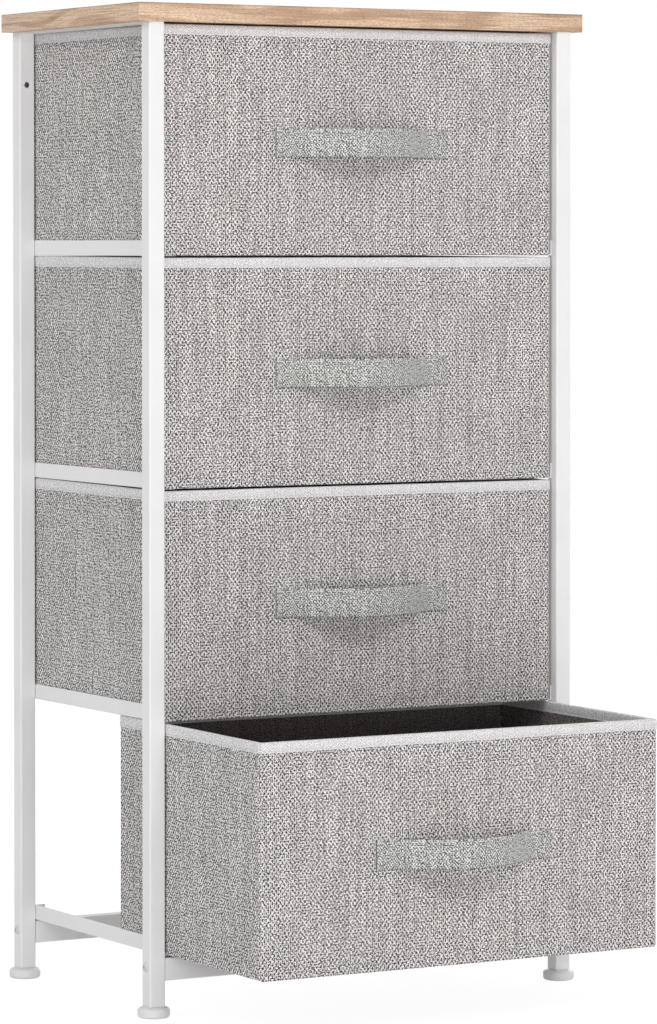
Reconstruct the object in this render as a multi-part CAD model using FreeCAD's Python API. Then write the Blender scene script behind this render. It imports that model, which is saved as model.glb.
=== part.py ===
import FreeCAD, Part
import math
import os

from FreeCAD import Vector

# Fabric drawer dresser: a white steel frame with a wooden top board and four fabric drawers that
# slide on angle rails. Millimetres, +X to the right seen from the front, +Y to the back, +Z up.
# The origin is on the floor, in the middle of the box round the whole dresser as it stands, with
# its lowest drawer pulled out.

# ---------------------------------------------------------------------------- driving sizes

# Whole frame
frame_width = 428.0             # over the outer faces of the legs, left to right
frame_depth = 265.0             # over the outer faces of the legs, front to back
overall_height = 870.0          # from the floor to the top of the board

# Top board
board_width = 450.0
board_depth = 267.0
board_thickness = 16.0
board_front_overhang = 2.0      # how far the board stands in front of the legs
board_edge_round = 0.8

# Legs, square tube
leg_size = 15.0
leg_wall = 1.0
leg_corner_radius = 1.5

# Levelling feet and the plugs that they screw into
foot_diameter = 28.0
foot_height = 9.3
foot_edge_radius = 2.8
stem_diameter = 6.0
stem_above_plug = 4.0
plug_flange_thickness = 1.2
plug_length = 14.0

# Crossbars between the legs, rectangular tube, low down at the front and at the back
crossbar_depth = 14.0
crossbar_height = 20.0
crossbar_wall = 1.0
crossbar_corner_radius = 1.5
crossbar_bottom = 31.5          # above the floor
bolt_rise = 12.0                # bolt centre above the underside of the crossbar

# Bolts through the legs into the crossbars
bolt_diameter = 5.0
bolt_head_diameter = 8.6
bolt_head_height = 2.5
bolt_grip = 10.0                # length of thread inside the crossbar
bolt_socket_width = 3.0         # across the flats of the hexagon
bolt_socket_depth = 1.4
nut_length = 13.0

# Side bars under the board, and the screws that hold the board on them
top_bar_width = 14.0
top_bar_thickness = 1.5
screw_inset = 45.0              # screw centre from the end of the bar
screw_diameter = 3.2
screw_head_diameter = 6.4
screw_length = 12.0

# Drawer rails, sheet steel bent to an angle with a stop at the back
drawer_count = 4
lowest_rail_bottom = 52.5       # above the floor
rail_sheet = 1.0
rail_height = 13.5
rail_flange_width = 14.5
rail_bend_radius = 0.3          # inside of the bend
rail_front_setback = 9.0        # from the front of the legs to the front end of a rail
rail_rear_setback = 3.0         # from the back of the legs to the back end of a rail
rail_stop_height = 12.0

# Holes through the rear legs for screws into a wall
anchor_drop = 47.0              # below the underside of the board
anchor_diameter = 5.0
anchor_rim_diameter = 6.6
anchor_rim_depth = 0.6

# Drawers
drawer_recess = 7.4             # closed front behind the front of the legs
drawer_headroom = 0.7           # between the top drawer and the side bars
lowest_drawer_opening = 172.0   # how far the lowest drawer stands open
cover_thickness = 0.8
front_board_thickness = 3.0
wall_board_thickness = 2.0
base_board_thickness = 2.5
lining_thickness = 0.6
trim_thickness = 0.6
trim_height = 8.2

# Strap handles
strap_width = 25.0              # height of the strap on the drawer
strap_thickness = 2.0
strap_tab = 21.0                # sewn length at each end
strap_span = 131.0              # free length between the tabs, measured straight
strap_reach = 32.0              # how far the loop stands out from the drawer front
strap_root_radius = 20.0
strap_drop = 1.5                # strap centre below the middle of the drawer front

# Clearances
foot_gap = 0.2                  # foot to plug
stem_gap = 0.05                 # stem in its plug, on the radius
plug_gap = 0.1                  # plug in the leg, each side
bolt_gap = 0.2                  # bolt in the leg, on the radius
thread_gap = 0.05               # bolt in its nut, on the radius
nut_gap = 0.1                   # nut in the crossbar, each side
screw_gap = 0.1                 # screw in the bar and the board, on the radius
drawer_side_gap = 0.4           # drawer to rail, each side
drawer_rest_gap = 0.1           # drawer bottom to rail
drawer_rear_gap = 0.4           # closed drawer to its stops
base_board_gap = 1.0            # base board to the drawer's walls
least_radius = 0.2              # smallest round inside a tube

# ---------------------------------------------------------------------------- worked-out places

half_width = frame_width / 2
inner_face = half_width - leg_size
leg_x = half_width - leg_size / 2

# Front and back ends of the dresser, counted from the front of the legs
foot_overhang = (foot_diameter - leg_size) / 2
drawer_forward = drawer_recess - max(lowest_drawer_opening, 0) - strap_reach
foremost = min(drawer_forward, -board_front_overhang, -foot_overhang)
rearmost = max(board_depth - board_front_overhang, frame_depth, frame_depth + foot_overhang)
frame_front = -(foremost + rearmost) / 2
frame_rear = frame_front + frame_depth
front_leg_y = frame_front + leg_size / 2
rear_leg_y = frame_rear - leg_size / 2

board_underside = overall_height - board_thickness
plug_bottom = foot_height + foot_gap
leg_bottom = plug_bottom + plug_flange_thickness
anchor_z = board_underside - anchor_drop
bolt_z = crossbar_bottom + bolt_rise
top_bar_underside = board_underside - top_bar_thickness

rail_front = frame_front + rail_front_setback
rail_rear = frame_rear - rail_rear_setback
rail_pitch = (board_underside - lowest_rail_bottom) / drawer_count

drawer_width = 2 * (inner_face - rail_sheet - drawer_side_gap)
drawer_front = frame_front + drawer_recess
drawer_rear = rail_rear - rail_sheet - drawer_rear_gap
drawer_height = rail_pitch - rail_sheet - drawer_rest_gap - top_bar_thickness - drawer_headroom

SIDES = {"left": -1, "right": 1}
ENDS = {"front": front_leg_y, "rear": rear_leg_y}
X_AXIS = Vector(1, 0, 0)
Y_AXIS = Vector(0, 1, 0)
Z_AXIS = Vector(0, 0, 1)


# ---------------------------------------------------------------------------- helpers

def block(x_range, y_range, z_range):
    """A box between two values on each axis, given in either order."""
    x0, x1 = sorted(x_range)
    y0, y1 = sorted(y_range)
    z0, z1 = sorted(z_range)
    return Part.makeBox(x1 - x0, y1 - y0, z1 - z0, Vector(x0, y0, z0))


def edges_along(shape, axis):
    """The straight edges of a box that run along one axis."""
    return [edge for edge in shape.Edges if abs(edge.tangentAt(edge.FirstParameter).dot(axis)) > 0.999]


def bar(x_range, y_range, z_range, axis, radius):
    """A box with the edges along its length rounded."""
    solid = block(x_range, y_range, z_range)
    return solid.makeFillet(radius, edges_along(solid, axis))


def about(middle, size):
    """The two ends of a size that is centred on a middle."""
    return (middle - size / 2, middle + size / 2)


def cylinder(radius, length, start, axis):
    return Part.makeCylinder(radius, length, start, axis)


def hexagon_prism(across_flats, length, start, axis):
    """A hexagonal prism that begins at start and runs along axis, which is +X or -X."""
    corner_radius = across_flats / 2 / math.cos(math.radians(30))
    corners = []
    for step in range(7):
        angle = math.radians(60 * step)
        turn = Vector(0, corner_radius * math.cos(angle), corner_radius * math.sin(angle))
        corners.append(start + turn)
    return Part.Face(Part.makePolygon(corners)).extrude(axis * length)


# ---------------------------------------------------------------------------- frame

def top_board():
    x_range = about(0, board_width)
    y_start = frame_front - board_front_overhang
    board = bar(x_range, (y_start, y_start + board_depth), (board_underside, overall_height),
                Z_AXIS, board_edge_round)
    for x, y in screw_places():
        pilot = cylinder(screw_diameter / 2 + screw_gap, screw_length - top_bar_thickness + screw_gap,
                         Vector(x, y, board_underside), Z_AXIS)
        board = board.cut(pilot)
    return board


def leg(side, y_middle):
    """A square tube from the plug to the board, drilled for its bolt and for the wall screw."""
    x_middle = side * leg_x
    z_range = (leg_bottom, board_underside)
    bore = leg_size - 2 * leg_wall
    outer = bar(about(x_middle, leg_size), about(y_middle, leg_size), z_range, Z_AXIS,
                leg_corner_radius)
    inner = bar(about(x_middle, bore), about(y_middle, bore), z_range, Z_AXIS,
                max(leg_corner_radius - leg_wall, least_radius))
    tube = outer.cut(inner)
    bolt_hole = cylinder(bolt_diameter / 2 + bolt_gap, leg_size,
                         Vector(x_middle - leg_size / 2, y_middle, bolt_z), X_AXIS)
    tube = tube.cut(bolt_hole)
    if y_middle == rear_leg_y:
        front_face = Vector(x_middle, y_middle - leg_size / 2, anchor_z)
        anchor_hole = cylinder(anchor_diameter / 2, leg_size, front_face, Y_AXIS)
        rim = Part.makeCone(anchor_rim_diameter / 2, anchor_diameter / 2, anchor_rim_depth,
                            front_face, Y_AXIS)
        tube = tube.cut(anchor_hole).cut(rim)
    return tube


def leg_plug(side, y_middle):
    """The threaded insert in the lower end of a leg, with a flange over the end of the tube."""
    x_middle = side * leg_x
    body_size = leg_size - 2 * leg_wall - 2 * plug_gap
    flange = bar(about(x_middle, leg_size), about(y_middle, leg_size), (plug_bottom, leg_bottom),
                 Z_AXIS, leg_corner_radius)
    body = bar(about(x_middle, body_size), about(y_middle, body_size),
               (leg_bottom, leg_bottom + plug_length), Z_AXIS,
               max(leg_corner_radius - leg_wall, least_radius))
    bore = cylinder(stem_diameter / 2 + stem_gap, plug_flange_thickness + plug_length,
                    Vector(x_middle, y_middle, plug_bottom), Z_AXIS)
    return flange.fuse(body).cut(bore).removeSplitter()


def foot(side, y_middle):
    """A round levelling foot with its threaded stem."""
    centre = Vector(side * leg_x, y_middle, 0)
    disc = cylinder(foot_diameter / 2, foot_height, centre, Z_AXIS)
    rims = [edge for edge in disc.Edges if edge.Closed]
    disc = disc.makeFillet(foot_edge_radius, rims)
    stem_top = leg_bottom + plug_length + stem_above_plug
    stem = cylinder(stem_diameter / 2, stem_top, centre, Z_AXIS)
    return disc.fuse(stem).removeSplitter()


def crossbar(y_middle):
    """A rectangular tube between the left and the right leg."""
    x_range = (-inner_face, inner_face)
    z_middle = crossbar_bottom + crossbar_height / 2
    outer = bar(x_range, about(y_middle, crossbar_depth), about(z_middle, crossbar_height), X_AXIS,
                crossbar_corner_radius)
    inner = bar(x_range, about(y_middle, crossbar_depth - 2 * crossbar_wall),
                about(z_middle, crossbar_height - 2 * crossbar_wall), X_AXIS,
                max(crossbar_corner_radius - crossbar_wall, least_radius))
    return outer.cut(inner)


def crossbar_nut(side, y_middle):
    """The threaded block that is pressed into one end of a crossbar."""
    z_middle = crossbar_bottom + crossbar_height / 2
    nut = bar((side * inner_face, side * (inner_face - nut_length)),
              about(y_middle, crossbar_depth - 2 * crossbar_wall - 2 * nut_gap),
              about(z_middle, crossbar_height - 2 * crossbar_wall - 2 * nut_gap), X_AXIS,
              max(crossbar_corner_radius - crossbar_wall, least_radius))
    bore = cylinder(bolt_diameter / 2 + thread_gap, nut_length,
                    Vector(side * inner_face, y_middle, bolt_z), X_AXIS * -side)
    return nut.cut(bore)


def crossbar_bolt(side, y_middle):
    """A domed bolt from the outer face of a leg into the crossbar, with a hexagon socket."""
    inward = X_AXIS * -side
    face = Vector(side * half_width, y_middle, bolt_z)
    shank = cylinder(bolt_diameter / 2, leg_size + bolt_grip, face, inward)
    head_radius = bolt_head_diameter / 2
    dome_radius = (head_radius ** 2 + bolt_head_height ** 2) / (2 * bolt_head_height)
    dome = Part.makeSphere(dome_radius, face + inward * (dome_radius - bolt_head_height))
    outside = cylinder(2 * dome_radius, bolt_head_height, face - inward * bolt_head_height, inward)
    socket = hexagon_prism(bolt_socket_width, bolt_socket_depth, face - inward * bolt_head_height, inward)
    return dome.common(outside).cut(socket).fuse(shank).removeSplitter()


def screw_places():
    """Where the board's screws go, on the middle line of each side bar."""
    places = []
    for side in SIDES.values():
        for y in (frame_front + leg_size + screw_inset, frame_rear - leg_size - screw_inset):
            places.append((side * leg_x, y))
    return places


def top_bar(side):
    """The flat bar between the front and the rear leg that the board is screwed to."""
    flat = block(about(side * leg_x, top_bar_width), (frame_front + leg_size, frame_rear - leg_size),
                 (top_bar_underside, board_underside))
    for x, y in screw_places():
        start = Vector(x, y, top_bar_underside)
        seat = Part.makeCone(screw_head_diameter / 2 + screw_gap, screw_diameter / 2 + screw_gap,
                             top_bar_thickness, start, Z_AXIS)
        flat = flat.cut(seat)
    return flat


def board_screw(x, y):
    """A countersunk screw, flush with the underside of its bar."""
    start = Vector(x, y, top_bar_underside)
    head = Part.makeCone(screw_head_diameter / 2, screw_diameter / 2, top_bar_thickness, start, Z_AXIS)
    shank = cylinder(screw_diameter / 2, screw_length, start, Z_AXIS)
    return head.fuse(shank).removeSplitter()


def rail_bottom(level):
    """Height of the rail that carries a drawer; level 1 is the top drawer."""
    return lowest_rail_bottom + (drawer_count - level) * rail_pitch


def rail(side, level):
    """A sheet angle on the inner faces of two legs, with its back end bent up as a stop."""
    z0 = rail_bottom(level)
    y_range = (rail_front, rail_rear)
    wall = block((side * inner_face, side * (inner_face - rail_sheet)), y_range, (z0, z0 + rail_height))
    shelf = block((side * inner_face, side * (inner_face - rail_flange_width)), y_range,
                  (z0, z0 + rail_sheet))
    stop = block((side * inner_face, side * (inner_face - rail_flange_width)),
                 (rail_rear - rail_sheet, rail_rear), (z0, z0 + rail_stop_height))
    angle = wall.fuse([shelf, stop]).removeSplitter()
    corner = Vector(side * inner_face, 0, z0)
    outer_edges = []
    for edge in edges_along(angle, Y_AXIS):
        place = edge.Vertexes[0].Point
        if abs(place.x - corner.x) < rail_sheet / 2 and abs(place.z - corner.z) < rail_sheet / 2:
            outer_edges.append(edge)
    return angle.makeFillet(rail_bend_radius + rail_sheet, outer_edges)


# ---------------------------------------------------------------------------- drawers

class DrawerPlace:
    """The outer faces of one drawer's fabric cover, and the faces of its layers."""

    def __init__(self, level):
        shift = -lowest_drawer_opening if level == drawer_count else 0
        self.front = drawer_front + shift
        self.rear = drawer_rear + shift
        self.half = drawer_width / 2
        self.bottom = rail_bottom(level) + rail_sheet + drawer_rest_gap
        self.top = self.bottom + drawer_height
        self.rim = self.top - trim_thickness
        self.strap_z = (self.bottom + self.top) / 2 - strap_drop


def ring_of_four(half, front, rear, z_range, front_layer, wall_layer):
    """Front and back panels over the full width, with the side panels between them."""
    inner_front = front + front_layer
    inner_rear = rear - wall_layer
    return [
        block((-half, half), (front, inner_front), z_range),
        block((-half, half), (inner_rear, rear), z_range),
        block((-half, -half + wall_layer), (inner_front, inner_rear), z_range),
        block((half - wall_layer, half), (inner_front, inner_rear), z_range),
    ]


def drawer_cover(place):
    """Five sewn fabric panels: four walls and the bottom."""
    panels = ring_of_four(place.half, place.front, place.rear, (place.bottom, place.rim),
                          cover_thickness, cover_thickness)
    inside = place.half - cover_thickness
    panels.append(block((-inside, inside), (place.front + cover_thickness, place.rear - cover_thickness),
                        (place.bottom, place.bottom + cover_thickness)))
    return Part.makeCompound(panels)


def drawer_boards(place):
    """The stiffening boards behind the cover: front board first, then back, left and right."""
    return ring_of_four(place.half - cover_thickness, place.front + cover_thickness,
                        place.rear - cover_thickness, (place.bottom + cover_thickness, place.rim),
                        front_board_thickness, wall_board_thickness)


def inner_faces(place, extra):
    """Half width, front and rear of the space inside the boards, drawn in by an extra layer."""
    half = place.half - cover_thickness - wall_board_thickness - extra
    front = place.front + cover_thickness + front_board_thickness + extra
    rear = place.rear - cover_thickness - wall_board_thickness - extra
    return half, front, rear


def base_board(place):
    """The loose stiff board in the bottom of the drawer."""
    half, front, rear = inner_faces(place, base_board_gap)
    floor = place.bottom + cover_thickness
    return block((-half, half), (front, rear), (floor, floor + base_board_thickness))


def drawer_lining(place):
    """The dark inner fabric: four walls, and the sheet over the base board."""
    half, front, rear = inner_faces(place, 0)
    floor = place.bottom + cover_thickness + base_board_thickness
    panels = ring_of_four(half, front, rear, (floor + lining_thickness, place.rim),
                          lining_thickness, lining_thickness)
    panels.append(block((-half, half), (front, rear), (floor, floor + lining_thickness)))
    return Part.makeCompound(panels)


def drawer_trim(place):
    """The binding folded over the rim, in its front, back, left and right lengths.

    Each length has a leg outside the cover, a web over the rim and a leg inside the lining.
    """
    low = place.top - trim_height
    below = (low, place.rim)
    web = (place.rim, place.top)
    half, front, rear = inner_faces(place, lining_thickness)
    outer_half = place.half + trim_thickness
    clear_half = half - trim_thickness
    clear_front = front + trim_thickness
    clear_rear = rear - trim_thickness
    lengths = []
    for outside, covered, lined, clear in (
        (place.front - trim_thickness, place.front, front, clear_front),
        (place.rear + trim_thickness, place.rear, rear, clear_rear),
    ):
        lengths.append([
            block((-outer_half, outer_half), (outside, covered), (low, place.top)),
            block((-outer_half, outer_half), (covered, clear), web),
            block((-half, half), (lined, clear), below),
            block((-outer_half, -place.half), (covered, clear), below),
            block((place.half, outer_half), (covered, clear), below),
        ])
    for side in SIDES.values():
        between = (clear_front, clear_rear)
        lengths.append([
            block((side * place.half, side * outer_half), between, below),
            block((side * clear_half, side * outer_half), between, web),
            block((side * half, side * clear_half), between, below),
        ])
    return Part.makeCompound([pieces[0].fuse(pieces[1:]).removeSplitter() for pieces in lengths])


def strap_side(place, offset, root_radius, crown_radius, bend):
    """One long face of the strap, seen from above: tab, root arc, crown, root arc, tab.

    The faces lie at two offsets from the drawer front, and their arcs share the same centres.
    """
    half_span = strap_span / 2
    half_length = half_span + strap_tab
    root_centre = root_radius
    crown_centre = root_radius - (root_radius + crown_radius) * math.cos(bend)
    root = root_radius - offset
    crown = crown_radius + offset

    def at(u, v):
        return Vector(u, place.front - v, place.strap_z - strap_width / 2)

    def root_point(sign, angle):
        return at(sign * (half_span - root * math.sin(angle)), root_centre - root * math.cos(angle))

    def crown_point(sign, angle):
        return at(sign * crown * math.sin(angle), crown_centre + crown * math.cos(angle))

    edges = [Part.makeLine(at(-half_length, offset), at(-half_span, offset))]
    edges.append(Part.Arc(root_point(-1, 0), root_point(-1, bend / 2), root_point(-1, bend)).toShape())
    edges.append(Part.Arc(crown_point(-1, bend), crown_point(1, 0), crown_point(1, bend)).toShape())
    edges.append(Part.Arc(root_point(1, bend), root_point(1, bend / 2), root_point(1, 0)).toShape())
    edges.append(Part.makeLine(at(half_span, offset), at(half_length, offset)))
    return edges


def strap_handle(place):
    """A folded fabric strap, sewn flat at both ends, with its middle standing out as a loop."""
    inner_reach = strap_reach - strap_thickness
    bend = 2 * math.atan(inner_reach / (strap_span / 2))
    radii = strap_span / 2 / math.sin(bend)
    crown_radius = radii - strap_root_radius
    inner_side = strap_side(place, 0, strap_root_radius, crown_radius, bend)
    outer_side = strap_side(place, strap_thickness, strap_root_radius, crown_radius, bend)
    left_end = Part.makeLine(inner_side[0].Vertexes[0].Point, outer_side[0].Vertexes[0].Point)
    right_end = Part.makeLine(inner_side[-1].Vertexes[-1].Point, outer_side[-1].Vertexes[-1].Point)
    outline = Part.Wire(Part.__sortEdges__(inner_side + outer_side + [left_end, right_end]))
    return Part.Face(outline).extrude(Z_AXIS * strap_width)


# ---------------------------------------------------------------------------- all the nodes

def frame_nodes():
    nodes = {"top_board": top_board()}
    bolts = []
    nuts = []
    for end, y_middle in ENDS.items():
        nodes["crossbar_" + end] = crossbar(y_middle)
        for name, side in SIDES.items():
            corner = end + "_" + name
            nodes["leg_" + corner] = leg(side, y_middle)
            nodes["leg_plug_" + corner] = leg_plug(side, y_middle)
            nodes["foot_" + corner] = foot(side, y_middle)
            bolts.append(crossbar_bolt(side, y_middle))
            nuts.append(crossbar_nut(side, y_middle))
    nodes["crossbar_bolts"] = Part.makeCompound(bolts)
    nodes["crossbar_nuts"] = Part.makeCompound(nuts)
    nodes["board_screws"] = Part.makeCompound([board_screw(x, y) for x, y in screw_places()])
    for name, side in SIDES.items():
        nodes["top_bar_" + name] = top_bar(side)
        for level in range(1, drawer_count + 1):
            nodes["rail_" + name + "_" + str(level)] = rail(side, level)
    return nodes


def drawer_nodes(level):
    place = DrawerPlace(level)
    front_board, back_board, left_board, right_board = drawer_boards(place)
    prefix = "drawer_" + str(level) + "_"
    return {
        prefix + "cover": drawer_cover(place),
        prefix + "front_board": front_board,
        prefix + "wall_boards": Part.makeCompound([back_board, left_board, right_board]),
        prefix + "base_board": base_board(place),
        prefix + "lining": drawer_lining(place),
        prefix + "trim": drawer_trim(place),
        prefix + "handle": strap_handle(place),
    }


all_nodes = frame_nodes()
for drawer_level in range(1, drawer_count + 1):
    all_nodes.update(drawer_nodes(drawer_level))

os.makedirs("parts", exist_ok=True)
for node_name, shape in all_nodes.items():
    shape.exportStep("parts/" + node_name + ".step")
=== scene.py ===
import math

import bmesh
import bpy
from mathutils import Matrix, Vector


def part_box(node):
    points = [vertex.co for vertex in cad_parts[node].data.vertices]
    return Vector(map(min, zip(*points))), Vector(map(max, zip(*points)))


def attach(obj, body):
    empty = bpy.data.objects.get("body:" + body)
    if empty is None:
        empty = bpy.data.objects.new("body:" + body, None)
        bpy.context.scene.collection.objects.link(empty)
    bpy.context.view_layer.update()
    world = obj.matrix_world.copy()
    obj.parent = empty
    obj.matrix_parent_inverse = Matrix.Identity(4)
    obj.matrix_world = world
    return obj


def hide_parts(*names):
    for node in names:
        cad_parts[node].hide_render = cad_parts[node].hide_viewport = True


bl_info = {
    "name": "Fabric Drawer Dresser",
    "version": (1, 0, 0),
    "blender": (4, 5, 0),
    "location": "View3D > Sidebar > Dresser",
    "description": "Dresses the packed frame of a fabric drawer dresser in cloth, oak and painted steel",
    "category": "Object",
}

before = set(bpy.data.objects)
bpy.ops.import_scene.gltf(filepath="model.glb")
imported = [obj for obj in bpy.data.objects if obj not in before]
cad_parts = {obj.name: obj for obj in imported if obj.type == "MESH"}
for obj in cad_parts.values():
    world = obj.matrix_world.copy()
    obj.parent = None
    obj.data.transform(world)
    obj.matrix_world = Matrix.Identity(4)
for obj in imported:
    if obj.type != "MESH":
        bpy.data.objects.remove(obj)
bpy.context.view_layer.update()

LEVELS = (1, 2, 3, 4)                     # drawers, counted from the top
MM = 0.001
X_AXIS = Vector((1, 0, 0))
Y_AXIS = Vector((0, 1, 0))
Z_AXIS = Vector((0, 0, 1))
TINY = 0.01 * MM                          # closer than this is the same place
PARALLEL = 0.999                          # cosine above which two directions are the same
FACING = 0.9                              # part of a normal above which a face looks along an axis
MOSTLY = 0.7                              # part of a normal above which it looks along no other axis more
PAST_CORNER = 1.5                         # where a grid of cuts starts, in radii of the rounded corner
CLOTH = "cloth"                           # UV map along the yarns, in metres
GRAIN = "grain"                           # UV map along and across the wood, in metres
WEAVE = "Woven Yarns"
YARN_DRIFT = 0.16                         # how far the yarns stray from their rows, in pitches
WHITE = (1.0, 1.0, 1.0)
BACKDROP = 1.0                            # brightness of the room as the camera sees it
FLOOR_WIDTH = 30.0
FLOOR_GLOW = 1.07                         # brightness that is mixed into the floor as the camera sees it
FLOOR_GLOW_SHARE = 0.88                   # share of that brightness; the rest is the lit floor
LAMPS_FACE = (0.0, 0.0, 0.45)             # the middle of the dresser
LAMPS = (                                 # name, place, width, setting of its power, colour
    ("key_lamp", (0.1, -2.6, 2.4), 0.9, "key_power", WHITE),
    ("front_lamp", (-0.8, -3.2, 0.32), 1.0, "front_power", WHITE),
    ("side_lamp", (-2.7, -0.6, 2.0), 1.4, "side_power", (0.95, 1.0, 0.98)),
    ("back_lamp", (2.4, 1.8, 1.2), 2.0, "back_power", WHITE),
)


# ---------------------------------------------------------------------------- settings

def linear(shade):
    """A display value from 0 to 255 as scene light."""
    value = shade / 255
    return value / 12.92 if value <= 0.04045 else ((value + 0.055) / 1.055) ** 2.4


def colour(name, description, red, green, blue):
    return bpy.props.FloatVectorProperty(
        name=name, description=description, subtype="COLOR", size=3, min=0.0, max=1.0,
        default=(linear(red), linear(green), linear(blue)))


def length(name, description, millimetres):
    return bpy.props.FloatProperty(
        name=name, description=description, unit="LENGTH", precision=5, min=0.0,
        default=millimetres * MM)


def amount(name, description, value, low=0.0, high=1.0):
    return bpy.props.FloatProperty(
        name=name, description=description, min=low, max=high, default=value)


class DresserSizes(bpy.types.PropertyGroup):
    board_corner: length("Board corner", "Radius of the top board's upright corners", 0.8)
    board_edge: length("Board edge", "Radius of the top board's level edges", 0.5)
    board_joint: length("Board joint", "From the board's top down to the joint of its edge band", 0.35)
    foot_gap: length("Foot gap", "Between a foot and the plug above it", 0.2)
    foot_shoulder: length("Foot shoulder", "Radius of the rims of a foot", 2.6)
    foot_collar: length("Foot collar", "Radius of the raised ring on top of a foot", 8.2)
    collar_height: length("Collar height", "Height of the raised ring on top of a foot", 0.8)
    stem: length("Stem", "Radius of a foot's threaded stem", 3.0)
    stem_pitch: length("Stem pitch", "Distance between two threads of the stem", 1.0)
    stem_root: amount("Stem root", "Radius between the threads, as a share of the stem's", 0.86)
    stiffener_corner: length("Stiffener corner", "Radius of the upright edges of a drawer's boards", 2.8)
    cover_thickness: length("Cover cloth", "Thickness of the drawers' outer cloth", 0.8)
    cover_corner: length("Cover corner", "Radius of a cover's upright corners", 3.6)
    cover_fold: length("Cover fold", "Radius where a cover's walls turn under its bottom", 1.2)
    cover_grid: length("Cover grid", "Spacing of the mesh on the cover", 12.0)
    cover_wave: length("Cover waves", "How far the cloth lies off its boards", 0.3)
    cover_wave_length: length("Cover wave length", "Size of the cloth's waves", 45.0)
    cover_rest: length("Cover rest", "How far round a seam the cover lies flat", 1.0)
    cover_tuck: length("Cover tuck", "How far below the binding the cover is drawn in", 0.5)
    cover_lip: length("Cover lip", "How far a cover's front edge hangs below its bottom", 0.8)
    cover_lip_width: length("Cover lip width", "Level stretch behind the hanging front edge", 0.3)
    seam_rise: length("Bottom seam", "Height of the seam above a cover's bottom", 3.2)
    seam_depth: length("Seam depth", "How far a seam draws the cover in", 0.4)
    binding_thickness: length("Binding tape", "Thickness of the tape over the rim", 0.55)
    binding_rise: length("Binding rise", "How far the binding puffs up above the rim", 0.7)
    binding_lean: length("Binding lean", "How much further it puffs up at the back than at the front", 1.1)
    binding_corner: length("Binding corner", "Radius of the rim's outer corners", 4.0)
    binding_inner_corner: length("Binding inner corner", "Radius of the rim's inner corners", 1.6)
    binding_shoulder: length("Binding shoulder", "Round where the tape folds over the rim", 1.7)
    binding_grid: length("Binding grid", "Spacing of the mesh along the tape", 8.0)
    binding_wave: length("Binding waves", "How unevenly the tape lies", 0.3)
    binding_wave_length: length("Binding wave length", "Size of the tape's waves", 30.0)
    binding_rest: length("Binding rest", "How far above its stitches the tape stays level", 1.0)
    lining_thickness: length("Lining cloth", "Thickness of the dark inner cloth", 0.6)
    lining_corner: length("Lining corner", "Radius of the lining's upright corners", 2.5)
    lining_fold: length("Lining fold", "Radius where the lining meets the drawer's floor", 2.0)
    lining_grid: length("Lining grid", "Spacing of the mesh on the lining", 12.0)
    lining_wave: length("Lining waves", "How far the slack lining stands off its boards", 3.2)
    lining_wave_length: length("Lining wave length", "Size of the lining's waves", 60.0)
    lining_held: length("Lining held", "Height of the lining that its binding holds", 14.0)
    lining_release: length("Lining release", "Height over which the lining comes free below that", 8.0)
    lining_slack: length("Lining slack", "From an edge of the lining to where it hangs free", 30.0)
    stitch_pitch: length("Stitch pitch", "Distance from one stitch to the next", 4.2)
    stitch_length: length("Stitch length", "Visible length of one stitch", 3.1)
    thread: length("Thread", "Thickness of the sewing thread", 0.44)
    stitch_inset: length("Stitch inset", "From the edge of a tape or strap to its line of stitches", 1.8)
    strap_thickness: length("Strap", "Thickness of the folded strap", 2.0)
    strap_grid: length("Strap grid", "Spacing of the mesh along the strap", 2.5)
    strap_edge: length("Strap edge", "Radius of the folded edges of the strap", 0.8)
    strap_tab: length("Strap tab", "Sewn length at each end of the strap", 18.0)
    strap_root: length("Strap root", "Inner radius where the strap leaves the drawer", 12.0)
    strap_slope: bpy.props.FloatProperty(
        name="Strap slope", description="How steeply the strap rises from the drawer", subtype="ANGLE",
        default=math.radians(35.0))
    stitch_press: length("Stitch press", "How deep a line of stitches sinks into the cloth", 0.25)
    press_width: length("Press width", "From a pressed line to where the cloth lies level again", 0.7)


class DresserColours(bpy.types.PropertyGroup):
    steel: colour("Steel", "Powder coat on the tubes and rails", 233, 231, 232)
    plastic: colour("Plastic", "Moulded feet and leg plugs", 226, 226, 225)
    bolt: colour("Bolts", "Painted bolt heads", 206, 205, 206)
    zinc: colour("Zinc", "Plated nuts and screws", 176, 180, 184)
    oak_light: colour("Oak, light", "Pale wood between the grain lines", 246, 219, 192)
    oak_dark: colour("Oak, dark", "Grain lines of the wood", 146, 105, 70)
    oak_warm: colour("Oak, warm", "Redder stretches of the wood", 206, 165, 134)
    weft: colour("Weft", "Thick pale yarn of the cover", 255, 249, 248)
    weft_shade: colour("Weft, shaded", "Darker flecks in the pale yarn", 84, 81, 80)
    warp: colour("Warp", "Thin dark yarn of the cover", 22, 20, 20)
    strap_weft: colour("Strap weft", "Pale yarn of the strap", 247, 247, 244)
    strap_warp: colour("Strap warp", "Dark yarn of the strap", 36, 36, 34)
    tape: colour("Tape", "Binding over the rim of a drawer", 248, 245, 246)
    tape_shade: colour("Tape, shaded", "Darker flecks in the binding's yarn", 200, 197, 198)
    tape_warp: colour("Tape warp", "Cross yarn of the binding", 178, 175, 178)
    thread: colour("Thread", "Sewing thread", 214, 211, 211)
    lining_weft: colour("Lining weft", "Lighter yarn of the dark lining", 146, 137, 132)
    lining_warp: colour("Lining warp", "Darker yarn of the lining", 58, 53, 51)
    board: colour("Fibreboard", "Stiffening boards inside the cloth", 164, 142, 116)
    board_fleck: colour("Fibreboard fleck", "Dark fibres in the stiffening boards", 118, 98, 76)
    floor: colour("Floor", "Pale studio floor", 250, 250, 250)


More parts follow.
